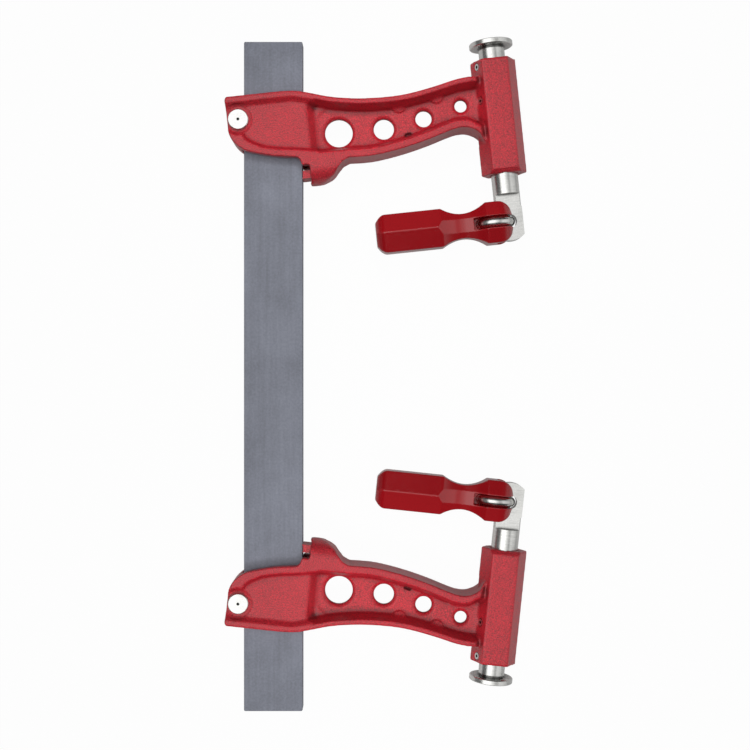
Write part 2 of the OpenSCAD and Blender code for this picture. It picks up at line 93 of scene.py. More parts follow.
# %% [markdown]
# ## Camera
# The camera looks straight down on the clamp lying flat. The bar's width in the picture and its
# real width tie the lens to the distance, and the perspective of the arms' edges settles both. The
# photograph sees the arms' inner sides a little more than one camera above the middle can.

# %% Camera above the clamp
CAMERA_X, CAMERA_Y, CAMERA_OVER_BAR = 60.8, 0.9, 717  # mm
camera_data = bpy.data.cameras.new("camera")
camera_data.sensor_width = 36
camera_data.lens = 57.6
camera_data.clip_start = 0.01
camera_data.clip_end = 20
camera = bpy.data.objects.new("camera", camera_data)
camera.location = (CAMERA_X * MM, CAMERA_Y * MM, (BAR_THICK + CAMERA_OVER_BAR) * MM)
bpy.context.scene.collection.objects.link(camera)
bpy.context.scene.camera = camera
bpy.context.scene.view_settings.view_transform = "Standard"
print("camera height above the bar, mm:", CAMERA_OVER_BAR)

# %% [markdown]
# ## Node helpers
# A material or a geometry tree is a list of nodes and links. These helpers make a node with its
# settings in one line, do a sum on sockets or plain numbers, rescale a range, and give a group a
# socket. Shaders work in linear light, so a colour read off a screen is converted first.


# %% Helpers for shader and geometry trees
def add_node(tree, kind, label="", **settings):
    node = tree.nodes.new(kind)
    node.label = label
    for name, value in settings.items():
        if name.startswith("in_"):
            node.inputs[name[3:].replace("_", " ")].default_value = value
        else:
            setattr(node, name, value)
    return node


def feed(tree, socket, value):
    if hasattr(value, "node"):
        tree.links.new(value, socket)
    else:
        socket.default_value = value


def combine(tree, operation, *values, **settings):
    node = add_node(tree, "ShaderNodeMath", operation=operation, **settings)
    for socket, value in zip(node.inputs, values):
        feed(tree, socket, value)
    return node.outputs[0]


def rescale(tree, label, value, start, end, low=0, high=1, **settings):
    node = add_node(tree, "ShaderNodeMapRange", label, **settings)
    names = ("Value", "From Min", "From Max", "To Min", "To Max")
    for name, given in zip(names, (value, start, end, low, high)):
        feed(tree, node.inputs[name], given)
    return node.outputs[0]


def new_socket(tree, name, kind, value=None, output=False):
    way = "OUTPUT" if output else "INPUT"
    socket = tree.interface.new_socket(name=name, in_out=way, socket_type=kind)
    if value is not None:
        socket.default_value = value


def srgb(*screen):
    shares = [value / 255 for value in screen]
    linear = [v / 12.92 if v <= 0.04045 else ((v + 0.055) / 1.055) ** 2.4 for v in shares]
    return (*linear, 1)


print("middle grey of a screen in linear light:", round(srgb(128, 128, 128)[0], 3))

# %% [markdown]
# ## Shared effect: pebbled skin
# Powder coat on a sand casting, moulded lacquer and plated steel all have a fine uneven skin. They
# differ only in grain size and depth. One shader node group gives a colour with light and dark
# specks, a roughness that varies with them, and a height for a Bump node.


# %% Group: pebbled skin
NOISE_SPAN = (0.3, 0.7)  # where nearly all of a noise's values lie


def build_pebble_group():
    tree = bpy.data.node_groups.new("pebbled skin", "ShaderNodeTree")
    new_socket(tree, "Color", "NodeSocketColor", (0.5, 0.5, 0.5, 1))
    for name, value in (("Grain", 900), ("Speck", 0.2), ("Patch", 0.1), ("Roughness", 0.5)):
        new_socket(tree, name, "NodeSocketFloat", value)
    new_socket(tree, "Color", "NodeSocketColor", output=True)
    new_socket(tree, "Roughness", "NodeSocketFloat", output=True)
    new_socket(tree, "Height", "NodeSocketFloat", output=True)
    link = tree.links.new
    given = add_node(tree, "NodeGroupInput").outputs
    out = add_node(tree, "NodeGroupOutput").inputs
    place = add_node(tree, "ShaderNodeTexCoord").outputs["Object"]
    grain = add_node(tree, "ShaderNodeTexNoise", "grain", in_Detail=3.0, in_Roughness=0.6)
    cells = add_node(tree, "ShaderNodeTexVoronoi", "pebbles", feature="SMOOTH_F1")
    patch = add_node(tree, "ShaderNodeTexNoise", "patches", in_Scale=45.0, in_Detail=4.0)
    for texture in (grain, cells, patch):
        link(place, texture.inputs["Vector"])
    for texture in (grain, cells):
        link(given["Grain"], texture.inputs["Scale"])
    pebbles = combine(tree, "MULTIPLY", cells.outputs["Distance"], 0.5)
    link(combine(tree, "SUBTRACT", grain.outputs["Fac"], pebbles), out["Height"])
    speck = rescale(tree, "specks", grain.outputs["Fac"], *NOISE_SPAN, -1, 1)
    patchy = rescale(tree, "patchiness", patch.outputs["Fac"], *NOISE_SPAN, -1, 1)
    speck = combine(tree, "MULTIPLY", speck, given["Speck"])
    change = combine(tree, "MULTIPLY_ADD", patchy, given["Patch"], speck)
    tint = add_node(tree, "ShaderNodeVectorMath", operation="SCALE")
    link(given["Color"], tint.inputs[0])
    link(combine(tree, "ADD", change, 1), tint.inputs["Scale"])
    link(tint.outputs[0], out["Color"])
    rough = combine(tree, "MULTIPLY_ADD", change, 0.25, given["Roughness"], use_clamp=True)
    link(rough, out["Roughness"])
    return tree


pebbled_skin = build_pebble_group()
print("pebbled skin nodes:", len(pebbled_skin.nodes))

# %% [markdown]
# ## Shared effect: drawn streaks
# Steel that was rolled, drawn or turned has fine lines in one direction. A noise texture squeezed
# along one axis gives them. The group is used on the bar and on every bare steel piece, and the
# turn and the stretch that go in set the lines to suit each one.


# %% Group: drawn streaks
def build_streak_group():
    tree = bpy.data.node_groups.new("drawn streaks", "ShaderNodeTree")
    new_socket(tree, "Stretch", "NodeSocketVector", (1, 1, 1))
    new_socket(tree, "Turn", "NodeSocketVector", (0, 0, 0))
    new_socket(tree, "Scale", "NodeSocketFloat", 100)
    new_socket(tree, "Streaks", "NodeSocketFloat", output=True)
    link = tree.links.new
    given = add_node(tree, "NodeGroupInput").outputs
    out = add_node(tree, "NodeGroupOutput").inputs
    place = add_node(tree, "ShaderNodeTexCoord").outputs["Object"]
    turn = add_node(tree, "ShaderNodeVectorRotate", rotation_type="EULER_XYZ")
    squeeze = add_node(tree, "ShaderNodeVectorMath", operation="MULTIPLY")
    lines = add_node(tree, "ShaderNodeTexNoise", "lines", in_Detail=5.0, in_Roughness=0.65)
    link(place, turn.inputs["Vector"])
    link(given["Turn"], turn.inputs["Rotation"])
    link(turn.outputs[0], squeeze.inputs[0])
    link(given["Stretch"], squeeze.inputs[1])
    link(squeeze.outputs[0], lines.inputs["Vector"])
    link(given["Scale"], lines.inputs["Scale"])
    link(lines.outputs["Fac"], out["Streaks"])
    return tree


drawn_streaks = build_streak_group()
print("drawn streaks nodes:", len(drawn_streaks.nodes))

# %% [markdown]
# ## Finishes
# There are five: the arms' powder coat, the handles' darker smooth lacquer, the rolled bar, the
# bright zinc plating, and the dark steel of the sleeves and the pads' rings. Each has its own
# Principled shader, which takes its colour, roughness and bump from the shared groups.


# %% A material with its pebbled skin wired up
def shader_of(material):
    return material.node_tree.nodes["Principled BSDF"].inputs


def new_finish(name, color, rough, grain, speck, patch, bump, depth):
    material = bpy.data.materials.new(name)
    material.use_nodes = True
    tree = material.node_tree
    shader = shader_of(material)
    skin = add_node(tree, "ShaderNodeGroup", name + " skin", node_tree=pebbled_skin,
                    in_Color=color, in_Roughness=rough,
                    in_Grain=grain, in_Speck=speck, in_Patch=patch)
    bumps = add_node(tree, "ShaderNodeBump", in_Strength=bump, in_Distance=depth)
    tree.links.new(skin.outputs["Color"], shader["Base Color"])
    tree.links.new(skin.outputs["Roughness"], shader["Roughness"])
    tree.links.new(skin.outputs["Height"], bumps.inputs["Height"])
    tree.links.new(bumps.outputs["Normal"], shader["Normal"])
    return material, skin.outputs


# %% Powder coat and handle lacquer
def red_coat(name, color, rough, coat, coat_rough, **skin_values):
    material, _ = new_finish(name, color, rough, **skin_values)
    shader_of(material)["Coat Weight"].default_value = coat
    shader_of(material)["Coat Roughness"].default_value = coat_rough
    return material


casting_red = red_coat("powder coated casting", srgb(180, 28, 42), 0.42, 0.6, 0.3,
                       grain=1700, speck=0.7, patch=0.08, bump=1.0, depth=0.3 * MM)
handle_red = red_coat("lacquered handle", srgb(152, 15, 23), 0.22, 0.5, 0.12,
                      grain=400, speck=0.02, patch=0.04, bump=0.08, depth=0.1 * MM)
print("red finishes:", casting_red.name, "and", handle_red.name)

# %% [markdown]
# ## Shared effect: painted recess shade
# This group paints shade into a colour: it darkens it where the piece's own faces close in around
# a point, on a casting's walls and corners and in a rivet's drilled mark or a grub screw's socket.
# It goes between a finish's skin and its shader.


# %% Group: painted recess shade
DEEP, OPEN = 0.57, 0.94  # how much of the sky a recess and an open face see


def build_painted_shade_group():
    tree = bpy.data.node_groups.new("painted recess shade", "ShaderNodeTree")
    new_socket(tree, "Color", "NodeSocketColor", (0.5, 0.5, 0.5, 1))
    new_socket(tree, "Reach", "NodeSocketFloat", 4 * MM)
    new_socket(tree, "Darkest", "NodeSocketFloat", 0.05)
    new_socket(tree, "Color", "NodeSocketColor", output=True)
    link = tree.links.new
    given = add_node(tree, "NodeGroupInput").outputs
    out = add_node(tree, "NodeGroupOutput").inputs
    # Painted shade: the colour is scaled down where the piece's own faces hide the sky
    openness = add_node(tree, "ShaderNodeAmbientOcclusion", "openness", samples=8, only_local=True)
    link(given["Reach"], openness.inputs["Distance"])
    depth = rescale(tree, "how much shade is painted", openness.outputs["AO"],
                    DEEP, OPEN, given["Darkest"])
    darker = add_node(tree, "ShaderNodeVectorMath", operation="SCALE")
    link(given["Color"], darker.inputs[0])
    link(depth, darker.inputs["Scale"])
    link(darker.outputs[0], out["Color"])
    return tree


def paint_recess_shade(material, reach, darkest):
    tree = material.node_tree
    color = shader_of(material)["Base Color"]
    clean = color.links[0].from_socket
    shade = add_node(tree, "ShaderNodeGroup", material.name + " recesses",
                     node_tree=painted_recess_shade, in_Reach=reach, in_Darkest=darkest)
    tree.links.new(clean, shade.inputs["Color"])
    tree.links.new(shade.outputs["Color"], color)


painted_recess_shade = build_painted_shade_group()
# Painted shade on the castings' walls, pockets and hole rims
paint_recess_shade(casting_red, 4.5 * MM, 0.2)
print("shade painted into:", casting_red.name)

# %% [markdown]
# The steels start from the same skin, and streaks shift their colour and roughness. The streaks of
# the bar run along it. Those of a turned piece run round it, so they are squeezed along the screw.


# %% Steel finishes
def streaked_steel(name, color, rough, turn, stretch, scale, share, metal=1.0, **skin_values):
    material, skin = new_finish(name, color, rough, **skin_values)
    tree, shader = material.node_tree, shader_of(material)
    shader["Metallic"].default_value = metal
    streaks = add_node(tree, "ShaderNodeGroup", name + " streaks", node_tree=drawn_streaks,
                       in_Turn=turn, in_Stretch=stretch, in_Scale=scale)
    change = rescale(tree, "streak strength", streaks.outputs["Streaks"], *NOISE_SPAN,
                     1 - share, 1 + share)
    tint = add_node(tree, "ShaderNodeVectorMath", operation="SCALE")
    tree.links.new(skin["Color"], tint.inputs[0])
    tree.links.new(change, tint.inputs["Scale"])
    tree.links.new(tint.outputs[0], shader["Base Color"])
    dull = combine(tree, "MULTIPLY", skin["Roughness"], change, use_clamp=True)
    tree.links.new(dull, shader["Roughness"])
    return material


bar_steel = streaked_steel(
    "rolled bar", srgb(124, 127, 138), 0.5, (0, 0, 0), (1, 0.04, 1), 420, 0.13, metal=0.35,
    grain=700, speck=0.14, patch=0.15, bump=0.25, depth=0.1 * MM)
zinc = {}
for side in SIDES:
    turn = (0, 0, -COCK if side == "upper" else COCK)
    zinc[side] = streaked_steel(
        "zinc plating " + side, srgb(222, 222, 219), 0.24, turn, (0.15, 1, 0.15), 900, 0.10,
        grain=900, speck=0.05, patch=0.14, bump=0.12, depth=0.1 * MM)
    # Painted shade in the plated pieces' drilled marks and sockets
    paint_recess_shade(zinc[side], 2 * MM, 0.2)
dark_steel = streaked_steel(
    "dark machined steel", srgb(96, 84, 84), 0.45, (0, 0, 0), (1, 0.2, 1), 600, 0.12,
    grain=900, speck=0.10, patch=0.15, bump=0.2, depth=0.1 * MM)
print("steels:", bar_steel.name, *(m.name for m in zinc.values()), dark_steel.name)

# %% [markdown]
# ## From a live object to a plain mesh
# Modifiers and geometry nodes stay live until they are turned into a plain mesh. A CAD solid's mesh
# is loose triangles, so a copy of it is merged before it is changed.


# %% Settle a piece
def plain_mesh(obj):
    bpy.context.view_layer.update()
    live = obj.evaluated_get(bpy.context.evaluated_depsgraph_get())
    return bpy.data.meshes.new_from_object(live)


def add_object(name, mesh):
    obj = bpy.data.objects.new(name, mesh)
    bpy.context.scene.collection.objects.link(obj)
    return obj


def settle(obj, name, material, body, replaced, matrix=None):
    mesh = plain_mesh(obj)
    if matrix is not None:
        mesh.transform(matrix)
        if matrix.determinant() < 0:
            mesh.flip_normals()
    bpy.data.objects.remove(obj)
    mesh.name = name
    piece = add_object(name, mesh)
    mesh.materials.clear()
    mesh.materials.append(material)
    for polygon in mesh.polygons:
        polygon.material_index = 0
    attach(piece, body)
    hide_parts(*replaced)
    print(name, "triangles:", sum(len(p.vertices) - 2 for p in mesh.polygons))


# %% Merged copy of a CAD solid, and the two modifiers that soften it
SAME_POINT = 0.0005 * MM
SAME_PLANE = math.radians(0.05)


def merged_copy(node):
    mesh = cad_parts[node].data.copy()
    shape = bmesh.new()
    shape.from_mesh(mesh)
    bmesh.ops.remove_doubles(shape, verts=shape.verts, dist=SAME_POINT)
    bmesh.ops.dissolve_limit(shape, angle_limit=SAME_PLANE, verts=shape.verts, edges=shape.edges)
    shape.to_mesh(mesh)
    shape.free()
    return add_object(node + "_copy", mesh)


def add_skin(obj, size):
    skin = obj.modifiers.new("skin", "REMESH")
    skin.mode = "VOXEL"
    skin.voxel_size = size
    skin.use_smooth_shade = True


def add_smoothing(obj, name, rounds, group=""):
    smoothing = obj.modifiers.new(name, "SMOOTH")
    smoothing.factor = 0.5
    smoothing.iterations = rounds
    smoothing.vertex_group = group


# %% [markdown]
# ## Arms
# Sand castings have no sharp edges. Bevels fail on a solid with this many cut faces, and sculpting
# would lose the sizes. A voxel remesh of the CAD solid gives an even skin of small squares, and a
# few rounds of smoothing on that skin round every edge and fill every corner a little.
# Where the arm grows out of the barrel, at the slope beside the bar and on the pocket's walls, the
# real casting flows more softly, so those places get more rounds through a vertex group.


# %% How soft each place of a casting is
CASTING_SKIN = 0.665 * MM  # fine enough for its edges, with under 200,000 triangles on an arm
FILLET_REACH = 4 * MM
ROOT_AT, ROOT_LOW, ROOT_HIGH = SCREW_U - 12.5 * MM, -30 * MM, 13 * MM
SLOPE_AT, SLOPE_LOW, SLOPE_HIGH = 43.4 * MM, -24 * MM, 8 * MM
SLOPE_DEPTH, SLOPE_SHARE = 2.5 * MM, 0.7
POCKET_START, POCKET_END = 44 * MM, SCREW_U - 13 * MM
WALL_FOOT, WALL_TOP = 4 * MM, 11 * MM


def fillet_weight(u, v, w):
    root = abs(u - ROOT_AT) / FILLET_REACH
    slope = abs(u - SLOPE_AT) / FILLET_REACH
    depth = abs(w)
    # The pocket's walls are cut in steps, which have to melt into one slope
    if POCKET_START < u < POCKET_END and WALL_FOOT < depth < WALL_TOP:
        return 1.0
    if root < 1 and ROOT_LOW < v < ROOT_HIGH:
        return 1 - root * root
    if slope < 1 and SLOPE_LOW < v < SLOPE_HIGH and depth > SLOPE_DEPTH:
        return SLOPE_SHARE * (1 - slope * slope)
    return 0.0


print("softness at the barrel's root:", fillet_weight(ROOT_AT, 0, 0))


# %% Soften the castings
def soft_casting(side):
    casting = merged_copy(side + "_arm")
    add_skin(casting, CASTING_SKIN)
    add_smoothing(casting, "edges", 4)
    mesh = plain_mesh(casting)
    bpy.data.objects.remove(casting)
    skin = add_object(side + "_skin", mesh)
    group = skin.vertex_groups.new(name="fillets")
    to_arm = arm_matrix(side).inverted()
    for vertex in mesh.vertices:
        weight = fillet_weight(*(to_arm @ vertex.co))
        if weight > 0:
            group.add([vertex.index], weight, "REPLACE")
    add_smoothing(skin, "fillets", 30, group.name)
    settle(skin, side + "_cast_arm", casting_red, side + "_jaw", [side + "_arm"])


for side in SIDES:
    soft_casting(side)

# %% [markdown]
# ## Handles
# The handle is a hexagonal section whose width follows a rule: full at the head, a slim waist and a
# long straight grip with a bevelled end. That is a loft along a line, so geometry nodes make it: a
# line is resampled, its radius is worked out from the distance along it, and a hexagon with rounded
# corners is swept. The waist is then pressed flat in front and behind, and the slot for the screw's
# flat end and the channel for the ring are cut out.

# %% Handle sizes
HANDLE = {
    "Length": 80.5, "Head Half": 12.4, "Waist Half": 7.4, "Grip Half": 11.45, "Head End": 14.3,
    "Waist At": 28.2, "Grip Start": 41, "Waist Depth": 6.2, "Scoop Rise": 7.02, "Scoop Run": 15.4,
    "Corner": 0.9, "Tang Radius": 12.2, "Slot Width": 8.7, "Ring Radius": 8.8, "Ring Offset": 8.4,
    "Channel": 6.1, "Window": 7.2}
HANDLE = {name: value * MM for name, value in HANDLE.items()}
HEAD_FRONT = 2.8 * MM  # how far the head reaches past the hinge
HEAD_ROUND = 6.8 * MM  # where its round end starts, on the other side of the hinge
HEAD_LEAST = 0.06  # square of the half width's share that is left at the head's front
BEVEL_LONG = 6 * MM
BEVEL_SHARE = 0.4  # of the grip's half width, lost at its end
HAIR = 0.01 * MM  # keeps two cutters' faces apart
THROUGH = 60 * MM  # long enough to cut right through
print("handle sizes as inputs:", len(HANDLE))

# %% [markdown]
# The width could be drawn by hand as a curve, but a rule keeps every size a named input. From the
# waist it grows with the square of the distance, to the head on one side and the grip on the other.
# An ellipse rounds the head and a short curve bevels the grip's end.


# %% Rule for the handle's width
def square_past(tree, distance, start, end, label):
    # 0 up to the start, and the square of the share of the way from there to the end, at most 1
    share = rescale(tree, label, distance, start, end)
    return combine(tree, "MULTIPLY", share, share)


def handle_width(tree, size, t):
    head_more = combine(tree, "SUBTRACT", size["Head Half"], size["Waist Half"])
    grip_more = combine(tree, "SUBTRACT", size["Grip Half"], size["Waist Half"])
    to_head = square_past(tree, t, size["Waist At"], size["Head End"], "waist to head")
    to_grip = square_past(tree, t, size["Waist At"], size["Grip Start"], "waist to grip")
    more = combine(tree, "ADD", combine(tree, "MULTIPLY", to_head, head_more),
                   combine(tree, "MULTIPLY", to_grip, grip_more))
    width = combine(tree, "ADD", size["Waist Half"], more)
    # Rounded head: a quarter of an ellipse, which stops short of a point
    head = square_past(tree, t, HEAD_ROUND, -HEAD_FRONT, "head end")
    head = combine(tree, "MAXIMUM", combine(tree, "SUBTRACT", 1, head), HEAD_LEAST)
    head = combine(tree, "SQRT", head)
    # Bevelled grip end
    bevel_from = combine(tree, "SUBTRACT", size["Length"], BEVEL_LONG)
    end = square_past(tree, t, bevel_from, size["Length"], "grip end")
    end = combine(tree, "SUBTRACT", 1, combine(tree, "MULTIPLY", end, BEVEL_SHARE))
    return combine(tree, "MULTIPLY", width, combine(tree, "MULTIPLY", head, end))


# %% [markdown]
# The sweep needs three things: a line with many points, the width as the radius at each point, and
# a hexagon to carry along it. The hexagon gets many points too, because the scoops bend its sides.


# %% Axis, section and sweep
def handle_axis(tree, size):
    # The line runs along -u from just past the hinge
    far = add_node(tree, "ShaderNodeCombineXYZ", "grip end")
    tree.links.new(combine(tree, "MULTIPLY", size["Length"], -1), far.inputs["X"])
    line = add_node(tree, "GeometryNodeCurvePrimitiveLine", "axis", in_Start=(HEAD_FRONT, 0, 0))
    tree.links.new(far.outputs[0], line.inputs["End"])
    even = add_node(tree, "GeometryNodeResampleCurve", in_Count=240)
    tree.links.new(line.outputs[0], even.inputs["Curve"])
    place = add_node(tree, "GeometryNodeInputPosition")
    split = add_node(tree, "ShaderNodeSeparateXYZ")
    tree.links.new(place.outputs[0], split.inputs[0])
    t = combine(tree, "MULTIPLY", split.outputs["X"], -1)
    sized = add_node(tree, "GeometryNodeSetCurveRadius")
    tree.links.new(even.outputs[0], sized.inputs["Curve"])
    tree.links.new(handle_width(tree, size, t), sized.inputs["Radius"])
    return sized.outputs[0]


def handle_section(tree, size):
    # A hexagon of unit half width across its flats, with rounded corners, a ridge to the front
    hexagon = add_node(tree, "GeometryNodeCurvePrimitiveCircle", "hexagon",
                       in_Resolution=6, in_Radius=1 / math.cos(math.radians(30)))
    rounded = add_node(tree, "GeometryNodeFilletCurve", mode="POLY", in_Count=4)
    tree.links.new(hexagon.outputs["Curve"], rounded.inputs["Curve"])
    corner = combine(tree, "DIVIDE", size["Corner"], size["Grip Half"])
    tree.links.new(corner, rounded.inputs["Radius"])
    dense = add_node(tree, "GeometryNodeResampleCurve", "dense hexagon", in_Count=144)
    tree.links.new(rounded.outputs["Curve"], dense.inputs["Curve"])
    upright = add_node(tree, "GeometryNodeTransform", "ridge to the front",
                       in_Rotation=(0, 0, math.radians(30)))
    tree.links.new(dense.outputs[0], upright.inputs["Geometry"])
    return upright.outputs[0]


def handle_sweep(tree, size):
    sweep = add_node(tree, "GeometryNodeCurveToMesh", in_Fill_Caps=True)
    radius = add_node(tree, "GeometryNodeInputRadius")
    tree.links.new(handle_axis(tree, size), sweep.inputs["Curve"])
    tree.links.new(handle_section(tree, size), sweep.inputs["Profile Curve"])
    tree.links.new(radius.outputs[0], sweep.inputs["Scale"])
    return sweep.outputs[0]


# %% [markdown]
# The real handle is pinched in front and behind at its waist. Two round cutters could take that
# away, but holding the points under a parabola does the same and keeps the even net of the sweep.


# %% Scoops in front and behind
def press_scoops(tree, size, blank):
    # No point stands further out than a parabola about the waist
    spot = add_node(tree, "GeometryNodeInputPosition")
    at = add_node(tree, "ShaderNodeSeparateXYZ")
    tree.links.new(spot.outputs[0], at.inputs[0])
    off = combine(tree, "ADD", at.outputs["X"], size["Waist At"])
    off = combine(tree, "DIVIDE", off, size["Scoop Run"])
    rise = combine(tree, "MULTIPLY", combine(tree, "MULTIPLY", off, off), size["Scoop Rise"])
    limit = combine(tree, "ADD", size["Waist Depth"], rise)
    below = combine(tree, "MULTIPLY", limit, -1)
    held = combine(tree, "MAXIMUM", combine(tree, "MINIMUM", at.outputs["Z"], limit), below)
    moved = add_node(tree, "ShaderNodeCombineXYZ")
    for axis, value in zip("XYZ", (at.outputs["X"], at.outputs["Y"], held)):
        tree.links.new(value, moved.inputs[axis])
    scooped = add_node(tree, "GeometryNodeSetPosition", "scoops")
    tree.links.new(blank, scooped.inputs["Geometry"])
    tree.links.new(moved.outputs[0], scooped.inputs["Position"])
    return scooped.outputs[0]


# %% [markdown]
# What is left is cutting: a fork for the screw's flat end, a ring-shaped channel for the steel ring
# that hinges the handle, and windows through which the ring shows. Each cutter is a plain solid,
# and one boolean takes them all away.


# %% Cutters
def cutter_box(tree, label, sizes, *centers):
    # One box of these sizes at each of the centres
    box = add_node(tree, "GeometryNodeMeshCube", label)
    extent = add_node(tree, "ShaderNodeCombineXYZ")
    for axis, value in zip("XYZ", sizes):
        feed(tree, extent.inputs[axis], value)
    tree.links.new(extent.outputs[0], box.inputs["Size"])
    placed = []
    for center in centers:
        moved = add_node(tree, "GeometryNodeTransform", in_Translation=center)
        tree.links.new(box.outputs["Mesh"], moved.inputs["Geometry"])
        placed.append(moved.outputs[0])
    return placed


def cutter_drum(tree, label, radius, depth):
    drum = add_node(tree, "GeometryNodeMeshCylinder", label, in_Vertices=96)
    feed(tree, drum.inputs["Radius"], radius)
    feed(tree, drum.inputs["Depth"], depth)
    return drum.outputs["Mesh"]


def onto_ring(tree, size, geometry):
    # The ring stands upright in the handle, its middle a little way from the hinge to the waist
    middle = add_node(tree, "ShaderNodeCombineXYZ")
    tree.links.new(combine(tree, "MULTIPLY", size["Ring Offset"], -1), middle.inputs["X"])
    stood = add_node(tree, "GeometryNodeTransform", in_Rotation=(math.radians(90), 0, 0))
    tree.links.new(geometry, stood.inputs["Geometry"])
    tree.links.new(middle.outputs[0], stood.inputs["Translation"])
    return stood.outputs[0]


# %% Ring channel and boolean
def ring_channel(tree, size):
    circle = add_node(tree, "GeometryNodeCurvePrimitiveCircle", "ring line", in_Resolution=96)
    wire = add_node(tree, "GeometryNodeCurvePrimitiveCircle", "ring wire", in_Resolution=32)
    tree.links.new(size["Ring Radius"], circle.inputs["Radius"])
    tree.links.new(combine(tree, "DIVIDE", size["Channel"], 2), wire.inputs["Radius"])
    channel = add_node(tree, "GeometryNodeCurveToMesh")
    tree.links.new(circle.outputs["Curve"], channel.inputs["Curve"])
    tree.links.new(wire.outputs["Curve"], channel.inputs["Profile Curve"])
    return onto_ring(tree, size, channel.outputs[0])


def subtract(tree, label, body, *cutters):
    cut = add_node(tree, "GeometryNodeMeshBoolean", label,
                   operation="DIFFERENCE", solver="MANIFOLD")
    tree.links.new(body, cut.inputs["Mesh 1"])
    for cutter in cutters:
        tree.links.new(cutter, cut.inputs["Mesh 2"])
    return cut.outputs["Mesh"]


# %% Fork slot, channel and windows
def handle_cutters(tree, size):
    fork = cutter_drum(tree, "fork slot", size["Tang Radius"], size["Slot Width"])
    slot_high = combine(tree, "SUBTRACT", size["Slot Width"], HAIR)
    mouth, = cutter_box(tree, "open end", (33 * MM, THROUGH, slot_high), (8.3 * MM, 0, 0))
    channel = ring_channel(tree, size)
    # Windows bare the ring's outer half
    slab, = cutter_box(tree, "window slab", (THROUGH, size["Window"], THROUGH), (13 * MM, 0, 0))
    core = cutter_drum(tree, "core inside the ring", size["Ring Radius"], THROUGH)
    window = subtract(tree, "windows", slab, onto_ring(tree, size, core))
    # Beside the ring's far end they are blind, with a wall left between front and back
    blind_wide = combine(tree, "SUBTRACT", size["Window"], HAIR)
    blind = cutter_box(tree, "blind end", (4.8 * MM, blind_wide, 30 * MM),
                       (-19.4 * MM, 0, 17 * MM), (-19.4 * MM, 0, -17 * MM))
    return fork, mouth, channel, window, *blind


def build_handle_tree():
    tree = bpy.data.node_groups.new("handle loft", "GeometryNodeTree")
    new_socket(tree, "Geometry", "NodeSocketGeometry", output=True)
    for name, value in HANDLE.items():
        new_socket(tree, name, "NodeSocketFloat", value)
    new_socket(tree, "Material", "NodeSocketMaterial")
    size = add_node(tree, "NodeGroupInput").outputs
    out = add_node(tree, "NodeGroupOutput")
    scooped = press_scoops(tree, size, handle_sweep(tree, size))
    cut = subtract(tree, "cut handle", scooped, *handle_cutters(tree, size))
    real = add_node(tree, "GeometryNodeRealizeInstances")
    painted = add_node(tree, "GeometryNodeSetMaterial")
    tree.links.new(cut, real.inputs[0])
    tree.links.new(real.outputs[0], painted.inputs["Geometry"])
    tree.links.new(size["Material"], painted.inputs["Material"])
    tree.links.new(painted.outputs[0], out.inputs["Geometry"])
    return tree


handle_tree = build_handle_tree()
print("handle tree nodes:", len(handle_tree.nodes))


# %% [markdown]
# A tree is run by a modifier on an empty mesh. The modifier's inputs are set by each socket's own
# identifier. The cut leaves knife edges, so the handle gets the castings' treatment, with a finer
# skin, on which the edges stay crisper.


# %% Make a piece from a tree
def grow(tree, name, values):
    seed = add_object(name + "_seed", bpy.data.meshes.new(name + "_seed"))
    modifier = seed.modifiers.new("grow", "NODES")
    modifier.node_group = tree
    for item in tree.interface.items_tree:
        if item.in_out == "INPUT":
            modifier[item.identifier] = values[item.name]
    mesh = plain_mesh(seed)
    bpy.data.objects.remove(seed)
    return mesh


blank = grow(handle_tree, "handle", {**HANDLE, "Material": handle_red})
print("handle blank faces:", len(blank.polygons))

# %% Soften and place the handles
HANDLE_SKIN = 0.36 * MM
for side in SIDES:
    handle = add_object(side + "_blank", blank.copy())
    add_skin(handle, HANDLE_SKIN)
    add_smoothing(handle, "edges", 5)
    to_hinge = arm_matrix(side) @ Matrix.Translation((SCREW_U, HINGE_V, 0))
    settle(handle, side + "_lacquered_handle", handle_red, side + "_grip", [side + "_handle"],
           to_hinge)
bpy.data.meshes.remove(blank)

# %% [markdown]
# ## Steel pieces
# The bar, screws, pads, rings, rivets and sleeves are plain machined shapes, and their CAD solids
# are already right. The bar's long edges are the exception: a rolled bar has slightly rounded
# corners that catch the light, so a merged copy gets a small bevel.

# %% Bar with rounded edges
bar_copy = merged_copy("bar")
rolled = bar_copy.modifiers.new("rolled edges", "BEVEL")
rolled.width = 0.45 * MM
rolled.segments = 3
rolled.limit_method = "ANGLE"
rolled.angle_limit = math.radians(40)
settle(bar_copy, "rolled_bar", bar_steel, "bar", ["bar"])

# %% [markdown]
# Plated turned steel mirrors the studio, so its shading has to be true all round. The solids' faces
# are narrow strips of uneven width, and averaged corner normals would warp the reflections. A
# turned face keeps its tilt along the axis, and each corner's normal points away from the axis.

# %% True normals for turned faces
END_FACE = 0.05  # a face that tilts off the axis by less is flat across it
ROUND_FACE = 0.97  # a face's corners look its own way at least this much if it was turned


def true_normals(mesh, point, axis):
    normals = [Vector((0, 0, 0))] * len(mesh.loops)
    turned_faces = 0
    for polygon in mesh.polygons:
        tilt = polygon.normal.dot(axis)
        outward = polygon.normal - tilt * axis
        across = outward.length
        spokes = []
        for index in polygon.vertices:
            arm = mesh.vertices[index].co - point
            spokes.append((arm - arm.dot(axis) * axis).normalized())
        facing = outward.normalized()
        sign = 1 if sum(spoke.dot(facing) for spoke in spokes) > 0 else -1
        if across < END_FACE or min(sign * spoke.dot(facing) for spoke in spokes) < ROUND_FACE:
            continue
        turned_faces += 1
        for loop, spoke in zip(polygon.loop_indices, spokes):
            normals[loop] = (tilt * axis + sign * across * spoke).normalized()
    mesh.normals_split_custom_set(normals)
    return turned_faces


# %% Plated pieces
TURNED = {"rear_pin": "slider", "pad": "presser", "screw": "spindle", "handle_link": "grip"}
CRISP = math.radians(32)


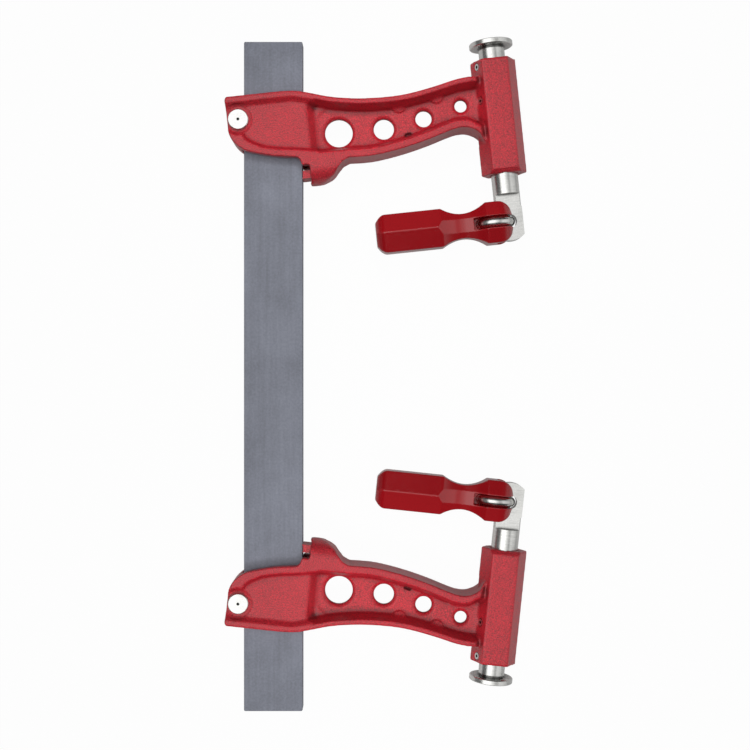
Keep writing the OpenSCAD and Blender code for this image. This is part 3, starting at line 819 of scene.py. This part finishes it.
def turning_axis(side, node):
    matrix = arm_matrix(side)
    if node == "rear_pin":
        return matrix @ Vector((0, 0, 0)), Vector((0, 0, 1))
    along = (matrix.to_3x3() @ Vector((0, 1, 0))).normalized()
    return matrix @ Vector((SCREW_U, 0, 0)), along


for side in SIDES:
    for node, body in TURNED.items():
        turned = merged_copy(f"{side}_{node}")
        for polygon in turned.data.polygons:
            polygon.use_smooth = True
        turned.data.set_sharp_from_angle(angle=CRISP)
        if node != "handle_link":
            print(node, "turned faces:", true_normals(turned.data, *turning_axis(side, node)))
        settle(turned, f"{side}_plated_{node}", zinc[side], f"{side}_{body}", [f"{side}_{node}"])

# %% [markdown]
# The pieces that show little stay as CAD solids and only get a finish.

# %% Finishes of the small pieces
for side in SIDES:
    finishes = {"grip_insert": casting_red, "screw_nut": dark_steel, "grub_screws": zinc[side],
                "pad_clip": dark_steel}
    for node, finish in finishes.items():
        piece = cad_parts[f"{side}_{node}"]
        piece.data.materials.clear()
        piece.data.materials.append(finish)
    print(side, "small pieces:", ", ".join(finishes))

# %% [markdown]
# ## Floor and light
# The clamp lies on a plain pale floor. The world is a studio with a bright strip and darker ones
# beside it, all along the bar, because bright steel shows such bands. Each jaw also has a lamp
# beyond its outer side, held to a narrow beam, so the walls that face inwards stay dark. The white
# of the background comes from the floor's material as the camera sees it, and not from more light.
# Gloss sees the same glow, but only faintly, or the undersides of the castings turn pale.

# %% Floor
FLOOR_HALF = 4
FLOOR_DROP = 0.1 * MM
GLOW_TO_CAMERA = 0.975
GLOW_TO_GLOSS = 0.12  # of what the camera gets
corners = [(-FLOOR_HALF, -FLOOR_HALF), (FLOOR_HALF, -FLOOR_HALF),
           (FLOOR_HALF, FLOOR_HALF), (-FLOOR_HALF, FLOOR_HALF)]
low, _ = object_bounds()
floor_height = low.z - FLOOR_DROP
floor_data = bpy.data.meshes.new("floor")
floor_data.from_pydata([(x, y, floor_height) for x, y in corners], [], [(0, 1, 2, 3)])
floor = add_object("floor", floor_data)
pale = bpy.data.materials.new("pale floor")
pale.use_nodes = True
pale_tree = pale.node_tree
shader_of(pale)["Base Color"].default_value = (0.5, 0.5, 0.5, 1)
shader_of(pale)["Roughness"].default_value = 0.9
glow = add_node(pale_tree, "ShaderNodeEmission")
ray = add_node(pale_tree, "ShaderNodeLightPath").outputs
faint = combine(pale_tree, "MULTIPLY", ray["Is Glossy Ray"], GLOW_TO_GLOSS)
seen = combine(pale_tree, "MAXIMUM", ray["Is Camera Ray"], faint)
mixed = add_node(pale_tree, "ShaderNodeMixShader")
pale_tree.links.new(combine(pale_tree, "MULTIPLY", seen, GLOW_TO_CAMERA), mixed.inputs[0])
pale_tree.links.new(pale_tree.nodes["Principled BSDF"].outputs[0], mixed.inputs[1])
pale_tree.links.new(glow.outputs[0], mixed.inputs[2])
pale_tree.links.new(mixed.outputs[0], pale_tree.nodes["Material Output"].inputs["Surface"])
floor_data.materials.append(pale)
print("floor height, mm:", round(1000 * floor_height, 2))

# %% Lamps
LAMP_SIZE = (0.16, 0.1)
LAMP_WATTS = 0.085
LAMP_SPREAD = math.radians(52)


def soft_lamp(name, place, target):
    lamp = bpy.data.lights.new(name, "AREA")
    lamp.shape = "RECTANGLE"
    lamp.size, lamp.size_y = LAMP_SIZE
    lamp.energy = LAMP_WATTS
    lamp.spread = LAMP_SPREAD
    holder = add_object(name, lamp)
    holder.location = place
    holder.visible_glossy = False
    holder.rotation_euler = (Vector(target) - Vector(place)).to_track_quat("-Z", "Y").to_euler()
    print(name, "at", place)


for side, way in zip(SIDES, (1, -1)):
    soft_lamp(side + " softbox", (0.07, way * 0.34, 0.34), (0.06, way * 0.11, 0))

# %% Strips of the studio
# Shares of the way from the left horizon over the top to the right horizon, and how bright each is
STRIPS = ((0, 0.12), (0.2, 0.15), (0.26, 1.6), (0.45, 1.55), (0.52, 0.95), (0.57, 0.8),
          (0.62, 0.45), (0.67, 0.45), (0.72, 0.9), (1, 0.6))
# Towards both ends of the bar the strips fade
FADE = (0.35, 0.65)
END_LIGHT = 0.06
world = bpy.data.worlds.new("studio")
bpy.context.scene.world = world
world.use_nodes = True
sky_tree = world.node_tree
backdrop = sky_tree.nodes["Background"].inputs
direction = add_node(sky_tree, "ShaderNodeTexCoord").outputs["Generated"]
parts = add_node(sky_tree, "ShaderNodeSeparateXYZ")
sky_tree.links.new(direction, parts.inputs[0])
around = combine(sky_tree, "ARCTAN2", parts.outputs["X"], parts.outputs["Z"])
over = rescale(sky_tree, "share of the way over", around, -math.pi / 2, math.pi / 2)
strips = add_node(sky_tree, "ShaderNodeValToRGB", "bright and dark strips")
sky_tree.links.new(over, strips.inputs[0])
ramp = strips.color_ramp
while len(ramp.elements) < len(STRIPS):
    ramp.elements.new(0.5)
for stop, (share_over, value) in zip(ramp.elements, STRIPS):
    stop.position = share_over
    stop.color = (value, value, value, 1)
print("strips:", len(ramp.elements))

# %% Light of the world
# The strips light the clamp, and the camera sees plain white
along_bar = combine(sky_tree, "ABSOLUTE", parts.outputs["Y"])
ends = rescale(sky_tree, "soft ends", along_bar, *FADE, 1, END_LIGHT,
               interpolation_type="SMOOTHSTEP")
lit = combine(sky_tree, "MULTIPLY", strips.outputs["Color"], ends)
ray = add_node(sky_tree, "ShaderNodeLightPath").outputs
sky_tree.links.new(combine(sky_tree, "MAXIMUM", lit, ray["Is Camera Ray"]), backdrop["Strength"])
backdrop["Color"].default_value = (1, 1, 1, 1)
print("world nodes:", len(sky_tree.nodes))
